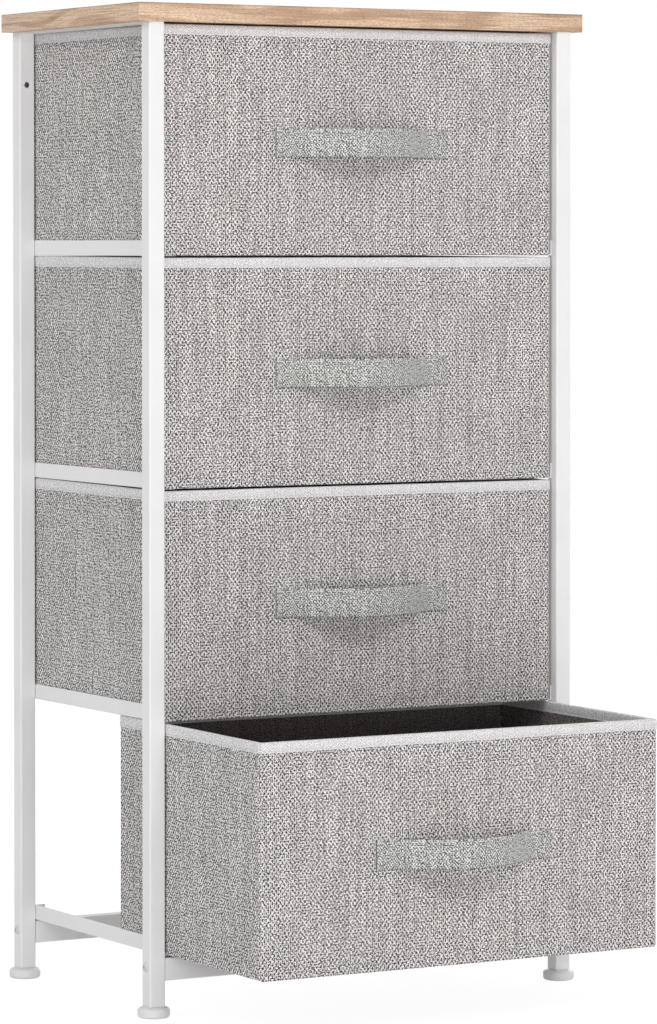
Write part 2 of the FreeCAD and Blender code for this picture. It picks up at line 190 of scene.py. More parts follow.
class StageSettings(bpy.types.PropertyGroup):
    camera_place: bpy.props.FloatVectorProperty(
        name="Camera", description="Where the camera stands", subtype="TRANSLATION", unit="LENGTH",
        precision=4, default=(-2.05791, -3.54506, 0.66512))
    camera_turn: bpy.props.FloatProperty(
        name="Turn", description="How far the camera looks to the right of straight back",
        subtype="ANGLE", default=math.radians(29.941))
    camera_dip: bpy.props.FloatProperty(
        name="Dip", description="How far the camera looks down", subtype="ANGLE",
        default=math.radians(1.43))
    lens: amount("Lens", "Focal length in millimetres on a 36 mm sensor", 163.108, 10.0, 500.0)
    shift: amount("Shift", "Upward shift of the lens, as a share of the picture's height", -0.15, -0.5, 0.5)
    key_power: amount("Key lamp", "Power of the upper lamp in watts", 26.0, 0.0, 2000.0)
    front_power: amount("Front lamp", "Power of the lamp low in front in watts", 29.0, 0.0, 2000.0)
    side_power: amount("Side lamp", "Power of the large lamp on the left in watts", 24.0, 0.0, 2000.0)
    back_power: amount("Back lamp", "Power of the large lamp behind on the right in watts", 40.0, 0.0, 2000.0)
    sky: amount("Room light", "Even light from all round", 0.48, 0.0, 5.0)


def sizes():
    return bpy.context.scene.dresser_sizes


def colours():
    return bpy.context.scene.dresser_colours


def stage_settings():
    return bpy.context.scene.dresser_stage


# ---------------------------------------------------------------------------- modelling tools

def select_only(piece):
    bpy.ops.object.select_all(action="DESELECT")
    bpy.context.view_layer.objects.active = piece
    piece.select_set(True)


class Editing:
    """Edit mode on one piece; object mode again at the end."""

    def __init__(self, piece):
        self.mesh = piece.data
        select_only(piece)

    def __enter__(self):
        bpy.ops.object.mode_set(mode="EDIT")
        return self

    def __exit__(self, *problem):
        bpy.ops.object.mode_set(mode="OBJECT")

    def pick(self, kind, wanted):
        """Selects just the vertices, edges or faces that pass a test."""
        bpy.ops.mesh.select_mode(type=kind)
        bpy.ops.mesh.select_all(action="DESELECT")
        mesh = bmesh.from_edit_mesh(self.mesh)
        elements = {"VERT": mesh.verts, "EDGE": mesh.edges, "FACE": mesh.faces}[kind]
        chosen = [element for element in elements if wanted(element)]
        for element in chosen:
            element.select_set(True)
        mesh.select_flush_mode()
        bmesh.update_edit_mesh(self.mesh)
        if not chosen:
            raise RuntimeError(f"nothing to select on {self.mesh.name}")

    def round_off(self, radius, segments):
        """Rounds the selected edges."""
        bpy.ops.mesh.bevel(offset=radius, segments=segments, affect="EDGES")

    def slice(self, axis, places):
        """Cuts the whole mesh across one axis, at each place."""
        for place in places:
            bpy.ops.mesh.select_all(action="SELECT")
            bpy.ops.mesh.bisect(plane_co=axis * place, plane_no=axis)

    def grid(self, low, high, margin, step):
        """Cuts the mesh into a level grid that keeps a margin from its walls."""
        self.slice(X_AXIS, evenly(low.x + margin, high.x - margin, step))
        self.slice(Y_AXIS, evenly(low.y + margin, high.y - margin, step))


def evenly(start, end, step):
    """Places between two ends, without the ends, about a step apart."""
    parts = max(1, round((end - start) / step))
    return [start + (end - start) * part / parts for part in range(1, parts)]


def new_piece(name, add, scale=(1, 1, 1), **settings):
    """A named primitive with its place and its scale in its mesh."""
    bpy.ops.object.select_all(action="DESELECT")
    add(**settings)
    piece = bpy.context.object
    piece.name = name
    piece.data.name = name
    piece.scale = scale
    bpy.ops.object.transform_apply(location=True, rotation=True, scale=True)
    return piece


def new_block(name, low, high):
    """A cube primitive stretched between two corners."""
    low, high = Vector(low), Vector(high)
    return new_piece(name, bpy.ops.mesh.primitive_cube_add, high - low, size=1, location=(low + high) / 2)


def add_modifier(piece, kind, **settings):
    """Puts a modifier on a piece and applies it."""
    select_only(piece)
    modifier = piece.modifiers.new(kind.title(), kind)
    for name, value in settings.items():
        setattr(modifier, name, value)
    bpy.ops.object.modifier_apply(modifier=modifier.name)


def thicken(piece, thickness):
    """Gives a skin its thickness, on the side away from its normals."""
    add_modifier(piece, "SOLIDIFY", thickness=thickness, offset=-1.0, use_even_offset=True)


def smooth(piece, degrees=40):
    select_only(piece)
    bpy.ops.object.shade_smooth_by_angle(angle=math.radians(degrees))


def runs_along(edge, axis):
    """Whether an edge is parallel to an axis."""
    run = edge.verts[1].co - edge.verts[0].co
    return abs(run.normalized().dot(axis)) > PARALLEL


def is_upright(edge):
    return runs_along(edge, Z_AXIS)


def is_level(edge):
    return abs(edge.verts[0].co.z - edge.verts[1].co.z) < TINY


def turns_over(edge):
    """Whether an edge lies between a level face and an upright one."""
    if len(edge.link_faces) != 2:
        return False
    first, second = (abs(face.normal.z) for face in edge.link_faces)
    return max(first, second) > FACING and min(first, second) < 1.0 - FACING


def copy_to(piece, name, move):
    """A copy of a piece with its own mesh, moved by a vector."""
    twin = piece.copy()
    twin.data = piece.data.copy()
    twin.name = name
    twin.data.name = name
    twin.data.transform(Matrix.Translation(move))
    bpy.context.collection.objects.link(twin)
    return twin


def join(pieces, name):
    bpy.ops.object.select_all(action="DESELECT")
    for piece in pieces:
        piece.select_set(True)
    bpy.context.view_layer.objects.active = pieces[0]
    bpy.ops.object.join()
    pieces[0].name = name
    pieces[0].data.name = name
    return pieces[0]


def give(piece, material):
    piece.data.materials.clear()
    piece.data.materials.append(material)


def mesh_corners(piece):
    """Every face of a mesh with each of its corners: the loop's index and the point."""
    mesh = piece.data
    for face in mesh.polygons:
        for loop_index in face.loop_indices:
            yield face, loop_index, mesh.vertices[mesh.loops[loop_index].vertex_index].co


def ripple(piece, depth, scale, name, still=None, only_inward=False):
    """Moves a mesh's points along their normals by soft waves; still says how calm a point is."""
    waves = bpy.data.textures.new(name, "CLOUDS")
    waves.noise_scale = scale
    waves.noise_depth = 1
    group = piece.vertex_groups.new(name=name)
    for vertex in piece.data.vertices:
        group.add([vertex.index], 1.0 - (still(vertex.co) if still else 0.0), "REPLACE")
    add_modifier(piece, "DISPLACE", texture=waves, texture_coords="LOCAL", strength=depth,
                 mid_level=1.0 if only_inward else 0.5, vertex_group=name)
    piece.vertex_groups.clear()


# ---------------------------------------------------------------------------- shader tools

class Shading:
    """Adds nodes to one shader tree. A value may be a number, a colour or another node's socket."""

    def __init__(self, tree):
        self.tree = tree

    def put(self, socket, value):
        if isinstance(value, bpy.types.NodeSocket):
            self.tree.links.new(value, socket)
        else:
            socket.default_value = value

    def node(self, kind, settings=None, inputs=None):
        made = self.tree.nodes.new(kind)
        for name, value in (settings or {}).items():
            setattr(made, name, value)
        for name, value in (inputs or {}).items():
            self.put(made.inputs[name], value)
        return made

    def math(self, operation, *values):
        made = self.node("ShaderNodeMath", {"operation": operation})
        for socket, value in zip(made.inputs, values):
            self.put(socket, value)
        return made.outputs[0]

    def vector_math(self, operation, *values):
        made = self.node("ShaderNodeVectorMath", {"operation": operation})
        for socket, value in zip(made.inputs, values):
            self.put(socket, value)
        return made.outputs[0]

    def blend(self, share, first, second):
        """first at share 0, second at share 1, as colours."""
        made = self.node("ShaderNodeMix", {"data_type": "RGBA"})
        for socket, value in zip((made.inputs[0], made.inputs[6], made.inputs[7]), (share, first, second)):
            self.put(socket, value)
        return made.outputs[2]

    def spread(self, value, low, high, out_low=0.0, out_high=1.0):
        """A value mapped smoothly from one range to another, and held at its ends."""
        made = self.node("ShaderNodeMapRange", {"interpolation_type": "SMOOTHSTEP"},
                         {"Value": value, "From Min": low, "From Max": high,
                          "To Min": out_low, "To Max": out_high})
        return made.outputs[0]

    def noise(self, place, scale, detail=2.0, roughness=0.5):
        made = self.node("ShaderNodeTexNoise", {}, {"Vector": place, "Scale": scale, "Detail": detail,
                                                    "Roughness": roughness})
        return made.outputs["Fac"]

    def drift(self, place, scale):
        """Three soft random values from -0.5 to 0.5."""
        made = self.node("ShaderNodeTexNoise", {}, {"Vector": place, "Scale": scale, "Detail": 1.0})
        return self.parts(self.vector_math("SUBTRACT", made.outputs["Color"], (0.5, 0.5, 0.5)))

    def sum_of(self, *weighted):
        """The sum of values, each given with its weight."""
        total = 0.0
        for value, weight in reversed(weighted):
            total = self.math("MULTIPLY_ADD", value, weight, total)
        return total

    def half_circle(self, across):
        """1 in the middle of a yarn, falling round to 0 at its sides, where across is -1 or 1."""
        square = self.math("MULTIPLY", across, across)
        return self.math("SQRT", self.math("MAXIMUM", self.math("SUBTRACT", 1.0, square), 0.0))

    def weave_wave(self, from_middle):
        """1 in the middle of a yarn, falling in a wave to 0 half a pitch away."""
        return self.math("COSINE", self.math("MULTIPLY", from_middle, math.pi))

    def parts(self, vector):
        made = self.node("ShaderNodeSeparateXYZ", {}, {0: vector})
        return made.outputs[0], made.outputs[1], made.outputs[2]

    def vector(self, x, y, z=0.0):
        return self.node("ShaderNodeCombineXYZ", {}, {0: x, 1: y, 2: z}).outputs[0]

    def group(self, tree, inputs):
        made = self.node("ShaderNodeGroup", {"node_tree": tree}, inputs)
        return made.outputs


def new_group(name, inputs, outputs):
    """An empty node group with sockets of a kind and a name each."""
    tree = bpy.data.node_groups.new(name, "ShaderNodeTree")
    for way, sockets in (("INPUT", inputs), ("OUTPUT", outputs)):
        for kind, label in sockets:
            tree.interface.new_socket(label, in_out=way, socket_type=f"NodeSocket{kind}")
    entry = tree.nodes.new("NodeGroupInput")
    leave = tree.nodes.new("NodeGroupOutput")
    return tree, Shading(tree), entry.outputs, leave.inputs


def woven_yarns():
    """Plain weave of a thick weft over a thin warp, with the yarns' own unevenness."""
    drift_scale, fibre_scale, fleck_scale = 160.0, 2400.0, 850.0    # of noises, per metre
    weft_tone_scale, warp_tone_scale = 0.9, 0.8                     # of noises, per yarn
    weft_change, warp_change = 0.11, 0.04     # how much a yarn's tone changes from crossing to crossing
    weft_tone_share, warp_tone_share = 0.2, 0.8
    weft_seed, warp_seed, chance_seed = 3.1, 7.7, 0.37
    fibre_relief = 0.25
    soft_contact = 0.15                   # how softly the two yarns meet
    weft_half_width = 1 / 1.45            # in pitches; above a half, so the weft yarns press together
    warp_half_width = 0.62                # of a yarn of width 1, in pitches
    weft_rise, warp_rise = 0.45, 0.9      # how far the yarns go up and down past each other
    warp_body, warp_sink = 0.7, -0.5      # the warp is thinner than the weft and lies deeper
    tree, shading, given, result = new_group(
        WEAVE,
        [("Vector", "Cloth"), ("Vector", "Object"), ("Vector", "Fleck Place"), ("Float", "Warp Pitch"),
         ("Float", "Weft Pitch"), ("Float", "Warp Width"), ("Float", "Unevenness")],
        [("Float", "Height"), ("Float", "Warp"), ("Float", "Hollow"), ("Float", "Tone"), ("Float", "Fleck"),
         ("Float", "Warp Chance"), ("Float", "Weft Chance")])

    across, along, _ = shading.parts(given["Cloth"])
    drift_u, drift_v, _ = shading.drift(given["Object"], drift_scale)
    u = shading.math("MULTIPLY_ADD", drift_u, given["Unevenness"],
                     shading.math("DIVIDE", across, given["Warp Pitch"]))
    v = shading.math("MULTIPLY_ADD", drift_v, given["Unevenness"],
                     shading.math("DIVIDE", along, given["Weft Pitch"]))
    column = shading.math("ROUND", u)
    row = shading.math("ROUND", v)
    from_column = shading.math("SUBTRACT", u, column)
    from_row = shading.math("SUBTRACT", v, row)

    odd = shading.math("FLOORED_MODULO", shading.math("ADD", column, row), 2.0)
    weft_on_top = shading.math("MULTIPLY_ADD", odd, -2.0, 1.0)
    warp_on_top = shading.math("MULTIPLY", weft_on_top, -1.0)
    weft_lift = shading.math("MULTIPLY", weft_on_top, shading.weave_wave(from_column))
    warp_lift = shading.math("MULTIPLY", warp_on_top, shading.weave_wave(from_row))
    weft_round = shading.half_circle(shading.math("DIVIDE", from_row, weft_half_width))
    warp_round = shading.half_circle(shading.math(
        "DIVIDE", from_column, shading.math("MULTIPLY", given["Warp Width"], warp_half_width)))
    weft_height = shading.math("MULTIPLY_ADD", weft_lift, weft_rise, weft_round)
    warp_height = shading.math("MULTIPLY_ADD", warp_lift, warp_rise, shading.math(
        "MULTIPLY_ADD", warp_round, warp_body, warp_sink))
    height = shading.math("SMOOTH_MAX", weft_height, warp_height, soft_contact)
    fibres = shading.noise(shading.vector_math("MULTIPLY", given["Cloth"], (1.0, 3.0, 1.0)),
                           fibre_scale, 2.0, 0.6)
    shading.put(result["Height"], shading.math("MULTIPLY_ADD", fibres, fibre_relief, height))
    shading.put(result["Warp"], shading.spread(
        shading.math("SUBTRACT", warp_height, weft_height), -0.05, 0.25))
    # mask for painted shade: 1 where the yarns lie low, in the hollows between them
    shading.put(result["Hollow"], shading.spread(height, 0.75, 0.05))

    along_weft = shading.math("MULTIPLY", column, weft_change)
    along_warp = shading.math("MULTIPLY", row, warp_change)
    weft_tone = shading.noise(shading.vector(along_weft, row, weft_seed), weft_tone_scale, 2.0, 0.7)
    warp_tone = shading.noise(shading.vector(column, along_warp, warp_seed), warp_tone_scale, 1.0)
    shading.put(result["Tone"], shading.sum_of((shading.spread(weft_tone, 0.3, 0.7), weft_tone_share),
                                               (shading.spread(warp_tone, 0.3, 0.7), warp_tone_share)))
    flecks = shading.noise(given["Fleck Place"], fleck_scale, 0.0)
    shading.put(result["Fleck"], shading.spread(flecks, 0.5, 0.6))
    crossing = shading.vector(column, row, shading.math("MULTIPLY", row, chance_seed))
    chance = shading.node("ShaderNodeTexWhiteNoise", {"noise_dimensions": "3D"}, {"Vector": crossing})
    warp_chance, weft_chance, _ = shading.parts(chance.outputs["Color"])
    shading.put(result["Warp Chance"], warp_chance)
    shading.put(result["Weft Chance"], weft_chance)
    return tree


def new_material(name):
    """An empty material with its shader, ready for its inputs."""
    material = bpy.data.materials.new(name)
    material.use_nodes = True
    tree = material.node_tree
    tree.nodes.clear()
    shading = Shading(tree)
    shader = shading.node("ShaderNodeBsdfPrincipled")
    output = shading.node("ShaderNodeOutputMaterial")
    tree.links.new(shader.outputs[0], output.inputs[0])
    return material, shading, shader.inputs


def object_place(shading):
    return shading.node("ShaderNodeTexCoord").outputs["Object"]


def cloth_place(shading):
    return shading.node("ShaderNodeUVMap", {"uv_map": CLOTH}).outputs[0]


def bump(shading, height, distance):
    return shading.node("ShaderNodeBump", {}, {"Height": height, "Distance": distance}).outputs[0]


def opaque(shade, brightness=1.0):
    """A colour with its alpha, darkened where a brightness is given."""
    red, green, blue = shade
    return (red * brightness, green * brightness, blue * brightness, 1.0)


# ---------------------------------------------------------------------------- materials

def box_flecks(shading):
    """Where the flecks of a drawer's walls lie: drawn out along its depth, slanting and mirrored."""
    along_side, rise = 0.5, 0.3           # how far the flecks' place moves per metre of depth
    x, y, z = shading.parts(object_place(shading))
    run = shading.math("MULTIPLY", y, along_side)
    level = shading.math("MULTIPLY_ADD", shading.math("SIGN", x), run, x)
    return shading.vector(level, shading.math("MULTIPLY_ADD", y, rise, z), 0.0)


def strap_painted_shade(shading):
    """Painted shade on a strap's lower fold, which faces down, and on its two ends, which face sideways."""
    facing = shading.node("ShaderNodeNewGeometry").outputs["Normal"]
    sideways, _, upward = shading.parts(facing)
    fold = shading.spread(upward, -0.25, -0.6)
    ends = shading.spread(shading.math("ABSOLUTE", sideways), 0.75, 0.95)
    return shading.math("MAXIMUM", fold, ends)


def woven_cloth(name, weft, weft_shade, warp, warp_pitch, weft_pitch, warp_width, relief,
                flecks=box_flecks, painted_edge_shade=None):
    """Matt cloth of two yarns: darker flecks in the weft, painted shade in its hollows and on any masked
    edges.
    """
    tone_share, chance_share, fleck_share = 0.27, 0.1, 0.9
    least_warp = 0.65                     # darkness of the palest warp crossings
    # painted shade in the hollows: its share, and how dark it is beside the warp
    hollow_shade_share, hollow_shade_brightness = 0.3, 0.45
    # share of the painted shade on a strap's fold and ends
    edge_shade_share = 0.7
    material, shading, shader = new_material(name)
    weave = bpy.data.node_groups.get(WEAVE) or woven_yarns()
    yarns = shading.group(weave, {"Cloth": cloth_place(shading), "Object": object_place(shading),
                                  "Fleck Place": flecks(shading),
                                  "Warp Pitch": warp_pitch, "Weft Pitch": weft_pitch,
                                  "Warp Width": warp_width, "Unevenness": YARN_DRIFT})
    shaded = shading.sum_of((yarns["Tone"], tone_share), (yarns["Weft Chance"], chance_share),
                            (yarns["Fleck"], fleck_share))
    weft_colour = shading.blend(shaded, opaque(weft), opaque(weft_shade))
    depth = shading.spread(yarns["Warp Chance"], 0.0, 0.8, least_warp, 1.0)
    cloth = shading.blend(shading.math("MULTIPLY", yarns["Warp"], depth), weft_colour, opaque(warp))
    # painted shade in the hollows between the yarns
    hollow_shade = shading.math("MULTIPLY", yarns["Hollow"], hollow_shade_share)
    cloth = shading.blend(hollow_shade, cloth, opaque(warp, hollow_shade_brightness))
    # painted shade on the strap's lower fold and ends, chosen by the way they face
    if painted_edge_shade:
        edges = shading.math("MULTIPLY", painted_edge_shade(shading), edge_shade_share)
        cloth = shading.blend(edges, cloth, opaque(warp))
    shading.put(shader["Base Color"], cloth)
    shader["Roughness"].default_value = 0.92
    shader["Specular IOR Level"].default_value = 0.2
    shader["Sheen Weight"].default_value = 0.12
    shader["Sheen Roughness"].default_value = 0.6
    shading.put(shader["Normal"], bump(shading, yarns["Height"], relief))
    return material


def cover_cloth():
    tint = colours()
    return woven_cloth("linen_cover", tint.weft, tint.weft_shade, tint.warp,
                       warp_pitch=1.93 * MM, weft_pitch=2.55 * MM, warp_width=0.9, relief=0.35 * MM)


def strap_cloth():
    tint = colours()
    return woven_cloth("strap_cloth", tint.strap_weft, tint.weft_shade, tint.strap_warp,
                       warp_pitch=1.3 * MM, weft_pitch=1.6 * MM, warp_width=1.1, relief=0.25 * MM,
                       flecks=cloth_place, painted_edge_shade=strap_painted_shade)


def binding_tape():
    tint = colours()
    return woven_cloth("binding_tape", tint.tape, tint.tape_shade, tint.tape_warp,
                       warp_pitch=1.5 * MM, weft_pitch=1.1 * MM, warp_width=0.6, relief=0.15 * MM)


def lining_cloth():
    tint = colours()
    return woven_cloth("dark_lining", tint.lining_weft, tint.lining_warp, tint.lining_warp,
                       warp_pitch=1.6 * MM, weft_pitch=1.6 * MM, warp_width=0.7, relief=0.2 * MM)


def sewing_thread():
    """Twisted thread: a fine slanting stripe of relief along each stitch, with painted shade in its grooves.
    """
    stripe = 0.55 * MM
    material, shading, shader = new_material("sewing_thread")
    x, y, z = shading.parts(object_place(shading))
    slant = shading.math("ADD", shading.math("ADD", x, y), shading.math("MULTIPLY", z, 0.8))
    strands = shading.math("SINE", shading.math("MULTIPLY", slant, 2 * math.pi / stripe))
    shade = colours().thread
    # painted shade: darker where the strands' relief is low
    shading.put(shader["Base Color"], shading.blend(
        shading.spread(strands, -0.6, 0.8), opaque(shade, 0.72), opaque(shade)))
    shader["Roughness"].default_value = 0.6
    shader["Sheen Weight"].default_value = 0.2
    shading.put(shader["Normal"], bump(shading, strands, 0.05 * MM))
    return material


def powder_coat(name, shade):
    """White paint baked on steel, with the faint orange peel of powder coating."""
    material, shading, shader = new_material(name)
    place = object_place(shading)
    peel = shading.noise(place, 900.0, 3.0)
    cloud = shading.noise(place, 22.0, 2.0)
    shading.put(shader["Base Color"], shading.blend(
        shading.spread(cloud, 0.3, 0.75, 0.0, 0.35), opaque(shade), opaque(shade, 0.9)))
    shading.put(shader["Roughness"], shading.spread(peel, 0.2, 0.8, 0.34, 0.46))
    shading.put(shader["Normal"], bump(shading, peel, 0.06 * MM))
    return material


def moulded_plastic():
    """Matt moulded plastic with a fine spark-eroded grain and a few darker scuffs."""
    material, shading, shader = new_material("white_plastic")
    place = object_place(shading)
    shade = colours().plastic
    grain = shading.noise(place, 2600.0, 2.0)
    scuff = shading.spread(shading.noise(place, 210.0, 4.0, 0.7), 0.56, 0.74)
    shading.put(shader["Base Color"], shading.blend(
        shading.math("MULTIPLY", scuff, 0.5), opaque(shade), opaque(shade, 0.72)))
    shading.put(shader["Roughness"], shading.spread(grain, 0.25, 0.75, 0.42, 0.6))
    shading.put(shader["Normal"], bump(shading, grain, 0.05 * MM))
    return material


def zinc_plate():
    """Bright zinc plating, clouded and finely scratched."""
    material, shading, shader = new_material("zinc_plating")
    place = object_place(shading)
    shade = colours().zinc
    cloud = shading.noise(place, 300.0, 3.0)
    scratch = shading.noise(shading.vector_math("MULTIPLY", place, (1.0, 1.0, 9.0)), 1500.0, 2.0)
    shading.put(shader["Base Color"], shading.blend(
        shading.spread(cloud, 0.35, 0.7), opaque(shade), opaque(shade, 0.7)))
    shader["Metallic"].default_value = 1.0
    shading.put(shader["Roughness"], shading.spread(scratch, 0.3, 0.7, 0.24, 0.42))
    shading.put(shader["Normal"], bump(shading, scratch, 0.02 * MM))
    return material


def fibreboard():
    """Pressed board of wood fibre."""
    material, shading, shader = new_material("fibreboard")
    place = object_place(shading)
    tint = colours()
    fleck = shading.spread(shading.noise(place, 850.0, 4.0, 0.7), 0.48, 0.66)
    cloud = shading.noise(place, 60.0, 2.0)
    ground = shading.blend(shading.spread(cloud, 0.3, 0.7, 0.0, 0.4), opaque(tint.board),
                           opaque(tint.board, 0.8))
    shading.put(shader["Base Color"], shading.blend(fleck, ground, opaque(tint.board_fleck)))
    shader["Roughness"].default_value = 0.85
    shading.put(shader["Normal"], bump(shading, fleck, 0.05 * MM))
    return material


def oak_laminate(joint_height):
    """Pale oak print: growth rings, fibres and pores along the grain, and the edge band's joint."""
    ring_spacing = 2.6 * MM
    ring_sway = 34.0
    joint_core, joint_reach = 0.12 * MM, 0.3 * MM
    material, shading, shader = new_material("oak_laminate")
    tint = colours()
    along, across, _ = shading.parts(shading.node("ShaderNodeUVMap", {"uv_map": GRAIN}).outputs[0])

    def streaks(run, width, detail, roughness=0.55):
        """Noise in streaks about as long and as wide as given."""
        place = shading.vector(shading.math("DIVIDE", along, run), shading.math("DIVIDE", across, width))
        return shading.noise(place, 1.0, detail, roughness)

    sway = streaks(420 * MM, 75 * MM, 3.0)
    rings = shading.math("SINE", shading.math("MULTIPLY_ADD", sway, ring_sway, shading.math(
        "DIVIDE", across, ring_spacing)))
    rings = shading.math("MULTIPLY", shading.spread(rings, 0.1, 1.0), streaks(120 * MM, 20 * MM, 2.0))
    fibres = shading.spread(streaks(55 * MM, 0.9 * MM, 5.0, 0.65), 0.32, 0.72)
    pores = shading.spread(streaks(5.0 * MM, 0.42 * MM, 2.0), 0.60, 0.70)
    flecks = shading.spread(streaks(2.6 * MM, 1.2 * MM, 1.0), 0.38, 0.64)
    tone = shading.spread(streaks(300 * MM, 30 * MM, 2.0), 0.3, 0.7)
    dark = opaque(tint.oak_dark)
    wood = shading.blend(shading.math("MULTIPLY", fibres, 0.7), opaque(tint.oak_light), dark)
    wood = shading.blend(shading.math("MULTIPLY", tone, 0.4), wood, opaque(tint.oak_warm))
    wood = shading.blend(rings, wood, dark)
    wood = shading.blend(shading.math("MULTIPLY", flecks, 0.35), wood, dark)
    wood = shading.blend(shading.math("MULTIPLY", pores, 0.8), wood, opaque(tint.oak_dark, 0.55))
    height = shading.parts(object_place(shading))[2]
    from_joint = shading.math("ABSOLUTE", shading.math("SUBTRACT", height, joint_height))
    joint = shading.spread(from_joint, joint_core, joint_reach, 0.75, 0.0)
    wood = shading.blend(joint, wood, opaque(tint.oak_dark, 0.28))
    shading.put(shader["Base Color"], wood)
    shading.put(shader["Roughness"], shading.spread(fibres, 0.0, 1.0, 0.4, 0.56))
    grain = shading.math("SUBTRACT", shading.math("MULTIPLY", fibres, -0.4), pores)
    shading.put(shader["Normal"], bump(shading, grain, 0.05 * MM))
    return material


# ---------------------------------------------------------------------------- stage

def add_lamp(name, place, width, power, shade):
    """A round lamp that faces the dresser."""
    lamp = bpy.data.objects.new(name, bpy.data.lights.new(name, "AREA"))
    lamp.data.shape = "DISK"
    lamp.data.size = width
    lamp.data.energy = power
    lamp.data.color = shade
    lamp.location = place
    lamp.rotation_euler = (Vector(LAMPS_FACE) - Vector(place)).to_track_quat("-Z", "Y").to_euler()
    bpy.context.collection.objects.link(lamp)


def add_camera():
    settings = stage_settings()
    camera = bpy.data.objects.new("camera", bpy.data.cameras.new("camera"))
    camera.data.lens = settings.lens
    camera.data.sensor_width = 36.0
    camera.data.shift_y = settings.shift
    camera.data.clip_start = 0.1
    camera.data.clip_end = 60.0
    camera.location = settings.camera_place
    camera.rotation_euler = (math.pi / 2 - settings.camera_dip, 0.0, -settings.camera_turn)
    bpy.context.collection.objects.link(camera)
    bpy.context.scene.camera = camera


def seen_by_camera(shading):
    """1 for rays from the camera and in mirrors and glass, 0 for the light that falls on things."""
    path = shading.node("ShaderNodeLightPath").outputs
    return shading.math("MAXIMUM", path["Is Camera Ray"], shading.math(
        "MAXIMUM", path["Is Glossy Ray"], path["Is Transmission Ray"]))


def light_room():
    """Even light from all round, with a backdrop as bright as the lit floor."""
    world = bpy.data.worlds.new("room")
    bpy.context.scene.world = world
    world.use_nodes = True
    world.node_tree.nodes.clear()
    shading = Shading(world.node_tree)
    even = stage_settings().sky
    strength = shading.math("MULTIPLY_ADD", seen_by_camera(shading), BACKDROP - even, even)
    background = shading.node("ShaderNodeBackground", {}, {"Color": opaque(WHITE), "Strength": strength})
    output = shading.node("ShaderNodeOutputWorld")
    world.node_tree.links.new(background.outputs[0], output.inputs[0])


def floor_material():
    """Pale floor that the camera sees as white, with the object's shadow kept."""
    material, shading, shader = new_material("studio_floor")
    grain = shading.noise(object_place(shading), 40.0, 3.0)
    shading.put(shader["Base Color"], shading.blend(
        shading.spread(grain, 0.3, 0.7, 0.0, 0.06), opaque(colours().floor), opaque(WHITE, 0.6)))
    shader["Roughness"].default_value = 0.9
    shader["Specular IOR Level"].default_value = 0.0
    surface = material.node_tree.get_output_node("ALL").inputs["Surface"]
    lit = surface.links[0].from_socket
    glow = shading.node("ShaderNodeEmission", {}, {"Color": opaque(WHITE), "Strength": FLOOR_GLOW})
    share = shading.math("MULTIPLY", seen_by_camera(shading), FLOOR_GLOW_SHARE)
    mixed = shading.node("ShaderNodeMixShader", {}, {0: share, 1: lit, 2: glow.outputs[0]})
    shading.put(surface, mixed.outputs[0])
    return material


class DRESSER_OT_stage(bpy.types.Operator):
    """Sets up the floor, the lamps, the room's light and the camera"""
    bl_idname = "dresser.stage"
    bl_label = "Studio Stage"

    def execute(self, context):
        bpy.ops.object.select_all(action="DESELECT")
        bpy.ops.mesh.primitive_plane_add(size=FLOOR_WIDTH, location=(0, 0, 0))
        floor = context.object
        floor.name = "studio_floor"
        give(floor, floor_material())
        for name, place, width, power, shade in LAMPS:
            add_lamp(name, place, width, getattr(stage_settings(), power), shade)
        light_room()
        add_camera()
        context.scene.view_settings.view_transform = "Standard"
        return {"FINISHED"}


# ---------------------------------------------------------------------------- frame

CORNERS = [f"{end}_{side}" for end in ("front", "rear") for side in ("left", "right")]
STEEL_NODES = ["crossbar_front", "crossbar_rear", "top_bar_left", "top_bar_right"]
STEEL_NODES += [f"leg_{corner}" for corner in CORNERS]
STEEL_NODES += [f"rail_{side}_{level}" for side in ("left", "right") for level in LEVELS]


class DRESSER_OT_steel(bpy.types.Operator):
    """Paints the tubes, the bars and the drawer rails"""
    bl_idname = "dresser.steel"
    bl_label = "Steel Frame"

    def execute(self, context):
        paint = powder_coat("white_powder_coat", colours().steel)
        for node in STEEL_NODES:
            give(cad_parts[node], paint)
        return {"FINISHED"}


class DRESSER_OT_fasteners(bpy.types.Operator):
    """Finishes the bolts, the threaded blocks and the screws"""
    bl_idname = "dresser.fasteners"
    bl_label = "Fasteners"

    def execute(self, context):
        give(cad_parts["crossbar_bolts"], powder_coat("painted_bolts", colours().bolt))
        zinc = zinc_plate()
        for node in ("crossbar_nuts", "board_screws"):
            give(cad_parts[node], zinc)
        return {"FINISHED"}


def model_board(low, high):
    """The top board, with its print laid along each face."""
    size = sizes()
    piece = new_block("oak_top", low, high)
    with Editing(piece) as edit:
        edit.pick("EDGE", is_upright)
        edit.round_off(size.board_corner, 3)
        edit.pick("EDGE", is_level)
        edit.round_off(size.board_edge, 3)
    layer = piece.data.uv_layers.new(name=GRAIN)
    for face, loop_index, point in mesh_corners(piece):
        if abs(face.normal.x) > MOSTLY:
            place = (point.y, point.z + high.x)
        elif abs(face.normal.y) > MOSTLY:
            place = (point.x, point.z + point.y)
        else:
            place = (point.x, point.y - point.z)
        layer.data[loop_index].uv = place
    smooth(piece)
    return piece


class DRESSER_OT_board(bpy.types.Operator):
    """Makes the oak laminate top board"""
    bl_idname = "dresser.board"
    bl_label = "Top Board"

    def execute(self, context):
        low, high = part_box("top_board")
        board = model_board(low, high)
        give(board, oak_laminate(high.z - sizes().board_joint))
        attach(board, "frame")
        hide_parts("top_board")
        return {"FINISHED"}


